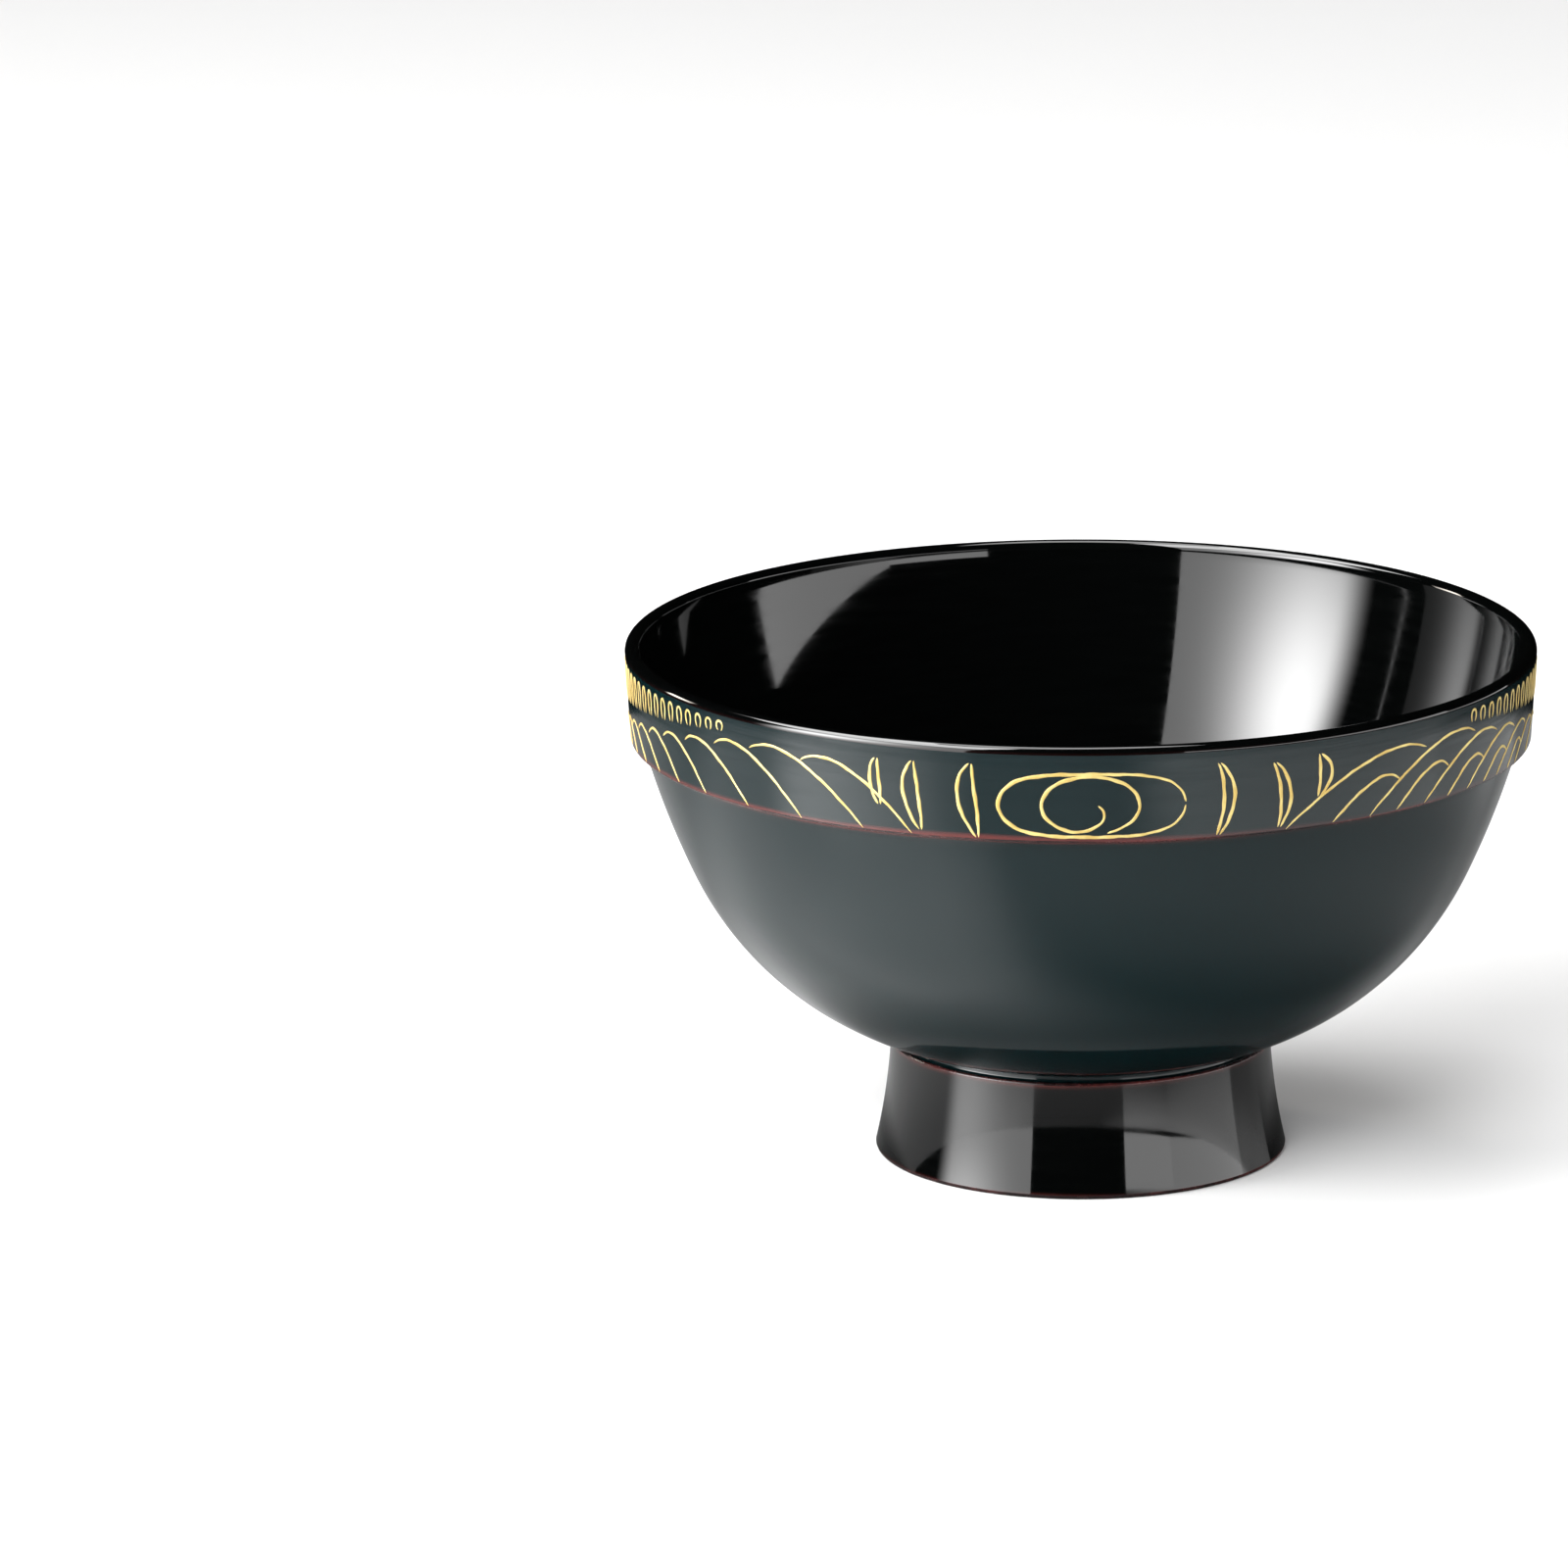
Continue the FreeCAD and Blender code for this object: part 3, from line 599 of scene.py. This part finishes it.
# ---------------------------------------------------------------------------------------------
# Gold line work: strokes of lacquer drawn with a fine brush on the band, sprinkled with gold
# powder while wet, so that each is a low ridge, thin at its ends and browner along its sides.
# ---------------------------------------------------------------------------------------------

relief = 0.08 * mm
stroke_width = 0.5 * mm
band_middle = 61.4
feather_foot = 56.8
degree_length = math.radians(1.0) * mouth_radius / mm


def bezier(poles, count=26):
    """Points on a Bezier curve: Bernstein weights of the poles, which are (azimuth, height)."""
    poles = np.asarray(poles, dtype=float)
    order = len(poles) - 1
    along = np.linspace(0, 1, count)[:, None]
    index = np.arange(order + 1)[None, :]
    ways = np.array([math.comb(order, number) for number in range(order + 1)])[None, :]
    return (ways * along**index * (1 - along) ** (order - index)) @ poles


def ridge(path, number, boldness):
    """A low ridge along a path of (azimuth, height), closed to a point at both ends.

    Across the path each ring is an ellipse-like section: half the width times cos p to the side,
    and the relief times sin p outward. The width swells in the middle of the stroke, and a hand's
    unsteadiness is the sum of two slow sines whose phases come from the stroke's number.
    """
    sides, blunt_length, tip_share = 12, 0.35, 0.25
    flat = path * [degree_length, 1.0]
    steps = np.vstack([[0, 0], np.diff(flat, axis=0)])
    travelled = np.cumsum(np.hypot(steps[:, 0], steps[:, 1]))
    along = travelled / travelled[-1]
    way = np.gradient(flat, axis=0)
    way /= np.hypot(way[:, 0], way[:, 1])[:, None]
    aside = np.column_stack([-way[:, 1], way[:, 0]])
    slow_sway = 0.03 * np.sin(travelled * 1.3 + number * 2.1)
    quick_sway = 0.02 * np.sin(travelled * 3.1 + number * 5.3)
    tremble = slow_sway + quick_sway
    swelling = 0.4 + 0.6 * np.sin(np.pi * np.clip(along, 0.012, 0.988)) ** 0.5
    pressure = 1 + 0.12 * np.sin(travelled * 1.9 + number * 1.7)
    half = 0.5 * boldness * (stroke_width / mm) * swelling * pressure
    to_tip = np.minimum(along, 1 - along) * travelled[-1]
    taper = np.minimum(1.0, to_tip / blunt_length + tip_share)
    turn = np.linspace(0, 2 * np.pi, sides, endpoint=False)
    side = tremble[:, None] + half[:, None] * taper[:, None] * np.cos(turn)
    sunk = 0.25
    lift = np.where(np.sin(turn) > 0, np.sin(turn), sunk * np.sin(turn)) * taper[:, None]
    place = flat[:, None, :] + side[:, :, None] * aside[:, None, :]
    azimuth = np.radians(place[:, :, 0] / degree_length)
    height = place[:, :, 1] * mm
    radius = band_face(height) + lift * relief
    points = np.stack([radius * np.sin(azimuth), -radius * np.cos(azimuth), height], axis=-1)
    across = np.abs(np.cos(turn))[None, :] + 0 * lift
    return points, across


def gilded(name, paths, node, boldness=1.0):
    """One mesh of like strokes, drawn at the front and again at the back of the band.

    Each ridge is a grid of quads, ring by ring, with a fan of triangles at each tip. The second
    drawing has x and y negated, which is half a turn.
    """
    all_points, all_faces, all_across = [], [], []
    start = 0
    for number, path in enumerate(paths):
        points, across = ridge(path, number, boldness)
        rings, around = across.shape
        row = np.arange(rings - 1)[:, None] * around
        here = np.arange(around)
        after = (here + 1) % around
        grid = [row + here, row + around + here, row + around + after, row + after]
        first_tip = np.full(around, rings * around)
        last_row = (rings - 1) * around
        face_sets = (
            np.stack(grid, axis=-1).reshape(-1, 4),
            np.column_stack([first_tip, here, after]),
            np.column_stack([first_tip + 1, last_row + after, last_row + here]),
        )
        tips = np.vstack([points[0].mean(axis=0), points[-1].mean(axis=0)])
        stroke_points = np.vstack([points.reshape(-1, 3), tips])
        for half_turn in (1, -1):
            all_points.append(stroke_points * [half_turn, half_turn, 1])
            for faces in face_sets:
                all_faces += (faces + start).tolist()
            all_across += [across.ravel(), [0.0, 0.0]]
            start += len(stroke_points)
    made = piece(name, np.vstack(all_points), all_faces, node, gold_material)
    edge = made.data.attributes.new("across", "FLOAT", "POINT")
    edge.data.foreach_set("value", np.concatenate(all_across).astype(np.float32))
    return made


def gold_powder():
    """Gold grains over brown lacquer: bright on the crest, browner to the sides."""
    gold = Recipe("gold_powder", Specular_IOR_Level=0.5)
    vector = gold.place()[0]
    across = gold.node("ShaderNodeAttribute", {"attribute_name": "across"}, [], "Fac")
    grains = gold.noise(vector, 9000.0, 2.0)
    thin = gold.noise(vector, 420.0, 3.0)
    pale, deep, brown_side = (0.74, 0.61, 0.23, 1), (0.58, 0.41, 0.12, 1), (0.2, 0.12, 0.055, 1)
    crest = gold.mixed(gold.ramp(thin, 0.3, 0.7), deep, pale)
    edge = gold.ramp(across + (thin - 0.5) * 0.5, 0.72, 1.05)
    gold.feed("Base Color", gold.mixed(edge, crest, brown_side))
    gold.feed("Metallic", gold.ramp(edge, 0.0, 1.0, 0.55, 0.2))
    gold.feed("Roughness", gold.ramp(grains, 0.3, 0.7, 0.34, 0.5))
    gold.feed("Normal", gold.bump(grains, 0.02 * mm, 0.6))
    return gold.material


gold_material = gold_powder()


def oval():
    """The medallion: an oval flattened above and below by a third harmonic, with a small break."""
    centre, half_width, half_height, flatness = 1.45, 11.5, 4.15, 0.09
    half_break = 2
    angle = np.radians(np.linspace(half_break, 360 - half_break, 120))
    swing = (np.sin(angle) + flatness * np.sin(3 * angle)) / (1 - flatness)
    azimuth = centre + half_width * np.cos(angle)
    return np.column_stack([azimuth, band_middle + half_height * swing])


def spiral():
    """The curl: the reach grows as a sine squared over the first third of the sweep."""
    centre, half_width, half_height = 1.25, 6.0, 3.85
    whole_sweep, opening_sweep, first_reach = 430, 130, 0.16
    turned_by = np.linspace(0, whole_sweep, 140)
    opened = np.sin(np.radians(90 * np.minimum(1, turned_by / opening_sweep))) ** 2
    reach = first_reach + (1 - first_reach) * opened
    angle = -np.radians(turned_by)
    azimuth = centre + half_width * reach * np.cos(angle)
    return np.column_stack([azimuth, band_middle + half_height * reach * np.sin(angle)])


def crescent(top, tip, flat_bow, full_bow):
    """Two strokes between a shared top and tip, bowed sideways by different amounts."""
    gap = 0.35
    strokes = []
    for bow, shift in ((flat_bow, 0.0), (full_bow, math.copysign(gap, full_bow))):
        start = np.array([top[0] + shift, top[1]])
        end = np.array([tip[0] + shift, tip[1]])
        upper = start + [bow * 4 / 3, -0.25 * (start[1] - end[1])]
        lower = end + [bow * 4 / 3, 0.35 * (start[1] - end[1])]
        strokes.append(bezier([start, upper, lower, end]))
    return strokes


def feather(tip, reach, crown):
    """A stroke that starts level, rounds over its crown and sweeps down to its tip."""
    poles = [
        (tip + reach, crown - 1.1),
        (tip + reach * 0.78, crown + 1.3),
        (tip + reach * 0.42, crown - 0.9),
        (tip, feather_foot),
    ]
    return bezier(poles)


def plume(azimuth, low, high):
    """A narrow loop, nearly closed below and rounded above, whose crown is at the height given."""
    half_foot, half_shoulder = 0.32, 1.35
    shoulder = (high - 0.25 * low) / 0.75
    poles = [
        (azimuth - half_foot, low),
        (azimuth - half_shoulder, shoulder),
        (azimuth + half_shoulder, shoulder),
        (azimuth + half_foot, low),
    ]
    return bezier(poles, 18)


# Top, tip, and the sideways bow of the flatter and the fuller stroke, in degrees.
crescents = [
    ((-13.3, 66.6), (-12.5, 56.9), 0.0, -1.9),
    ((-20.6, 66.4), (-19.8, 57.4), 0.0, -1.6),
    ((-25.5, 66.3), (-25.2, 60.2), 0.0, -0.9),
    ((16.9, 66.4), (16.9, 56.9), 0.9, 1.9),
    ((24.2, 65.8), (24.9, 57.2), 0.7, 1.7),
    ((30.4, 66.2), (30.4, 60.6), 0.3, 1.6),
]
# Azimuth of the tip, reach back to the start, and height of the crown.
left_feathers = [
    (-21.1, -15.6, 65.6),
    (-27.7, -17.4, 65.8),
    (-36.8, -15.2, 65.1),
    (-45.8, -12.9, 64.1),
    (-54.3, -10.6, 63.2),
    (-60.9, -9.3, 62.4),
    (-66.9, -8.3, 61.7),
    (-72.3, -7.4, 61.1),
    (-77.2, -6.6, 60.6),
    (-81.7, -5.9, 60.1),
]
right_long_feathers = [
    (26.0, 21.8, 65.4),
    (38.4, 19.8, 65.4),
    (47.9, 16.4, 64.1),
    (56.9, 13.8, 63.1),
    (65.0, 11.4, 62.2),
    (71.9, 9.6, 61.4),
    (77.9, 8.0, 60.8),
]
right_short_feathers = [
    (32.7, 10.6, 61.9),
    (42.9, 9.6, 61.9),
    (52.6, 8.2, 61.1),
    (61.2, 6.8, 60.4),
    (68.8, 5.6, 59.9),
]
# Each row of plumes steps outward by the same pitch and grows downward at an even rate.
plume_pitch, plume_crown = 2.3, 67.2
plumes = [plume(-50.6 - plume_pitch * n, 65.9 - 3.9 * n / 16, plume_crown) for n in range(17)]
plumes += [plume(57.6 + plume_pitch * n, 65.6 - 3.4 * n / 13, plume_crown) for n in range(14)]

wing_boldness, plume_boldness = 0.85, 0.62
crescent_paths = [stroke for shape in crescents for stroke in crescent(*shape)]
gilded("medallion_ovals", [oval()], "gold_medallions")
gilded("medallion_curls", [spiral()], "gold_spirals")
gilded("crescent_strokes", crescent_paths, "gold_crescents")
for name, feathers, node in (
    ("left_wing_strokes", left_feathers, "gold_left_feathers"),
    ("right_wing_long_strokes", right_long_feathers, "gold_right_long_feathers"),
    ("right_wing_short_strokes", right_short_feathers, "gold_right_short_feathers"),
):
    gilded(name, [feather(*shape) for shape in feathers], node, wing_boldness)
gilded("plume_strokes", plumes, "gold_plumes", plume_boldness)

# ---------------------------------------------------------------------------------------------
# The stage: a pale floor, a small table top that only reflections see, panels and lamps round the
# bowl, and the camera a little above it.
# ---------------------------------------------------------------------------------------------


def sheet_of(name, points, material):
    """One flat face as a stage object."""
    mesh = bpy.data.meshes.new(name)
    mesh.from_pydata(points, [], [tuple(range(len(points)))])
    mesh.materials.append(material)
    made = bpy.data.objects.new(name, mesh)
    bpy.context.scene.collection.objects.link(made)
    return made


def grey(level):
    """A colour with the same red, green and blue."""
    return (level, level, level, 1)


def floor_paper():
    """Plain pale paper, with a faint mottle."""
    paper = Recipe("floor_paper", Roughness=1.0, Specular_IOR_Level=0.5)
    mottle = paper.noise(paper.place()[0], 3.0, 2.0)
    paper.feed("Base Color", paper.mixed(mottle, grey(0.77), grey(0.79)))
    return paper.material


def table_top():
    """Semi-gloss white, with light and shade painted into its colour: painted light on the lit side,
    painted shade behind and close under the bowl.
    """
    top = Recipe("table_top", Roughness=0.2, Specular_IOR_Level=0.25)
    _, x, y, _ = top.place()
    radius = (x * x + y * y) ** 0.5
    # Painted shade: the colour is darkest close under the bowl and lightens far off to the right.
    painted_shade = top.mixed(top.ramp(radius, 30 * mm, 95 * mm), grey(0.03), grey(0.29))
    far_right_painted_light = top.ramp(x, 30 * mm, 90 * mm) * top.ramp(radius, 110 * mm, 190 * mm)
    painted_shade = top.mixed(far_right_painted_light, painted_shade, grey(0.78))
    # Painted light: brightest clear of the bowl, and half as bright towards the back.
    painted_light_share = top.ramp(radius, 32 * mm, 56 * mm, 0.3, 1.0) * top.ramp(y, 10 * mm, 70 * mm, 1.0, 0.5)
    bright = top.mixed(painted_light_share, grey(0.0), grey(0.58))
    # Painted cast shadow: a leaning edge splits the painted lit side from the painted shade.
    shadow_lean = 0.87
    lit = top.ramp(x - y * shadow_lean, 15 * mm, 65 * mm, 1.0, 0.0)
    top.feed("Base Color", top.mixed(lit, painted_shade, bright))
    return top.material


floor_reach = 12.0
floor_ways = ((-1, -1), (1, -1), (1, 1), (-1, 1))
floor_corners = [(floor_reach * across, floor_reach * deep, 0) for across, deep in floor_ways]
floor = sheet_of("floor", floor_corners, floor_paper())
floor.visible_glossy = False

# The table is seen in the lacquer, where it ends a quarter of a metre away.
table_radius = 0.25
table_lift = 0.05 * mm
table_turn = np.linspace(0, 2 * np.pi, 96, endpoint=False)
table_corners = [
    (table_radius * math.cos(turn), table_radius * math.sin(turn), table_lift) for turn in table_turn
]
table = sheet_of("table_in_reflections", table_corners, table_top())
table.visible_camera = table.visible_diffuse = table.visible_shadow = False

white, warm = (1, 1, 1), (1, 0.92, 0.82)


def panel(name, plan, low, high, glow, colour=white, core=None, soft=0.0, seen_once=False):
    """An upright panel between two places on plan, which glows towards the bowl.

    A core is its strength, its way along the panel and its height, and its size: a round falloff,
    exp(-d^2). The glow fades in over the first stretch, soft, from the panel's first end. A panel
    seen once is mirrored by the lacquer and not again by the table.
    """
    first, second = (np.array([*place, 0.0]) for place in plan)
    points = [(*first[:2], high), (*second[:2], high), (*second[:2], low), (*first[:2], low)]
    light = Recipe(
        name, Roughness=1.0, Base_Color=grey(0.0), Specular_IOR_Level=0.0, Emission_Strength=1.0
    )
    vector = light.place()[0]

    def distance_from(place, stretch=(1.0, 1.0, 1.0)):
        """Length of the way from a place, with each axis stretched."""
        offset = light.node("ShaderNodeVectorMath", {"operation": "SUBTRACT"}, [vector, place])
        offset = light.stretched(offset, stretch)
        return light.node("ShaderNodeVectorMath", {"operation": "LENGTH"}, [offset], "Value")

    second_bounce = 1.5
    strength = 1 - light.node("ShaderNodeNewGeometry", {}, [], "Backfacing")
    if seen_once:
        depth = light.node("ShaderNodeLightPath", {}, [], "Ray Depth")
        strength = strength * depth.maths("LESS_THAN", second_bounce)
    if soft:
        strength = strength * light.ramp(distance_from(tuple(first), (1.0, 1.0, 0.0)), 0.0, soft)
    if core:
        power, way, level, size = core
        centre = first + (second - first) * way
        distance = distance_from((*centre[:2], level))
        glow = (distance * distance * (-1 / size**2)).maths("EXPONENT") * power + glow
    glowing = [strength * glow, colour]
    light.feed("Emission Color", light.node("ShaderNodeVectorMath", {"operation": "MULTIPLY"}, glowing))
    made = sheet_of(name, points, light.material)
    made.visible_camera = made.visible_shadow = False
    return made


def on_plan(azimuth, distance):
    """The place at an azimuth, in degrees from the front towards +X, and a distance."""
    turn = math.radians(azimuth)
    return (distance * math.sin(turn), -distance * math.cos(turn))


# On the left a big soft box, whose upper part shows only in the lip, and a small warm one behind.
left_ends = (on_plan(-87.0, 1.065), on_plan(-27.5, 1.015))
box_top, upper_top = 0.9, 3.2
left_core, back_core = (22.0, 0.345, 0.42, 0.3), (22.0, 0.4, 0.2, 0.1)
panel("left_box", left_ends, -0.1, box_top, glow=3.5, core=left_core, soft=0.24)
upper = panel("left_upper_box", left_ends, box_top, upper_top, glow=15.0)
rear_ends = (on_plan(-125.0, 1.1), left_ends[0])
rear_upper = panel("rear_upper_box", rear_ends, box_top, upper_top, glow=15.0, soft=0.3)
upper.visible_diffuse = rear_upper.visible_diffuse = False
back_ends = (on_plan(-123.0, 0.9), on_plan(-110.0, 0.9))
back_glow = {"glow": 1.0, "colour": warm, "core": back_core, "soft": 0.03}
panel("left_back_box", back_ends, 0.1, 0.3, seen_once=True, **back_glow)

# On the right a row of low white cards: the middle one stands square to an azimuth of 108 degrees.
card_bottom = -0.024
card_middle, card_way = np.array(on_plan(108.0, 0.9)), np.array(on_plan(198.0, 1.0))
near_end, front_end, far_end = (card_middle + way * card_way for way in (-0.12, -1.3, 0.35))
panel("right_card", (front_end, near_end), card_bottom, 0.235, glow=3.4)
panel("right_card_front", (on_plan(25.0, 1.3), front_end), card_bottom, 0.2, glow=3.8)
panel("right_card_low", (near_end, far_end), card_bottom, 0.1, glow=2.0)


def hung_lamp(name, width, depth, power, place):
    """A soft oblong lamp that points at the foot of the bowl."""
    lamp = bpy.data.lights.new(name, "AREA")
    lamp.shape = "RECTANGLE"
    lamp.size, lamp.size_y = width, depth
    lamp.energy = power
    hung = bpy.data.objects.new(name, lamp)
    hung.location = place
    hung.rotation_mode = "QUATERNION"
    hung.rotation_quaternion = (-hung.location).to_track_quat("-Z", "Y")
    hung.visible_camera = False
    bpy.context.scene.collection.objects.link(hung)
    return hung


# One above, for the top of the lip and the open side of the shadow, and a weak one in front, which
# lifts the near shadow and lays a faint one behind.
hung_lamp("overhead", 0.7, 0.6, 8.0, (-0.1, 0.2, 1.3))
front_fill = hung_lamp("front_fill", 0.5, 0.4, 14.0, (-0.3, -1.1, 0.7))
front_fill.visible_glossy = False


def surroundings():
    """White behind the floor, a soft fill on rough things, and nearly black in reflections."""
    world = bpy.data.worlds.new("surroundings")
    bpy.context.scene.world = world
    world.use_nodes = True
    nodes, links = world.node_tree.nodes, world.node_tree.links
    path = nodes.new("ShaderNodeLightPath")
    reflected, fill, behind_floor = grey(0.002), grey(0.55), grey(1.0)
    factor_socket, first_colour, second_colour, colour_out = 0, 6, 7, 2
    past = None
    for ray, shade in (("Is Diffuse Ray", fill), ("Is Camera Ray", behind_floor)):
        choice = nodes.new("ShaderNodeMix")
        choice.data_type = "RGBA"
        links.new(path.outputs[ray], choice.inputs[factor_socket])
        choice.inputs[first_colour].default_value = reflected
        choice.inputs[second_colour].default_value = shade
        if past:
            links.new(past.outputs[colour_out], choice.inputs[first_colour])
        past = choice
    links.new(past.outputs[colour_out], nodes["Background"].inputs["Color"])


surroundings()

# The camera stands in front and above, and is then swung left and tipped up a little, which sets
# the bowl right of the middle and low in the frame.
elevation = math.radians(14.72)
camera_distance = 1.399
aim = Vector((0.0, 0.0, 0.034))
back = Vector((0.0, -math.cos(elevation), math.sin(elevation)))
swing_left = math.radians(1.608)
tip_up = math.radians(0.607)
camera_data = bpy.data.cameras.new("camera")
camera_data.sensor_width = 36.0
camera_data.lens = 242.4
camera = bpy.data.objects.new("camera", camera_data)
camera.location = aim + back * camera_distance
camera.rotation_mode = "QUATERNION"
swing, tip = Quaternion((0, 1, 0), swing_left), Quaternion((1, 0, 0), tip_up)
camera.rotation_quaternion = (-back).to_track_quat("-Z", "Y") @ swing @ tip
bpy.context.scene.collection.objects.link(camera)
bpy.context.scene.camera = camera
bpy.context.scene.view_settings.view_transform = "Standard"
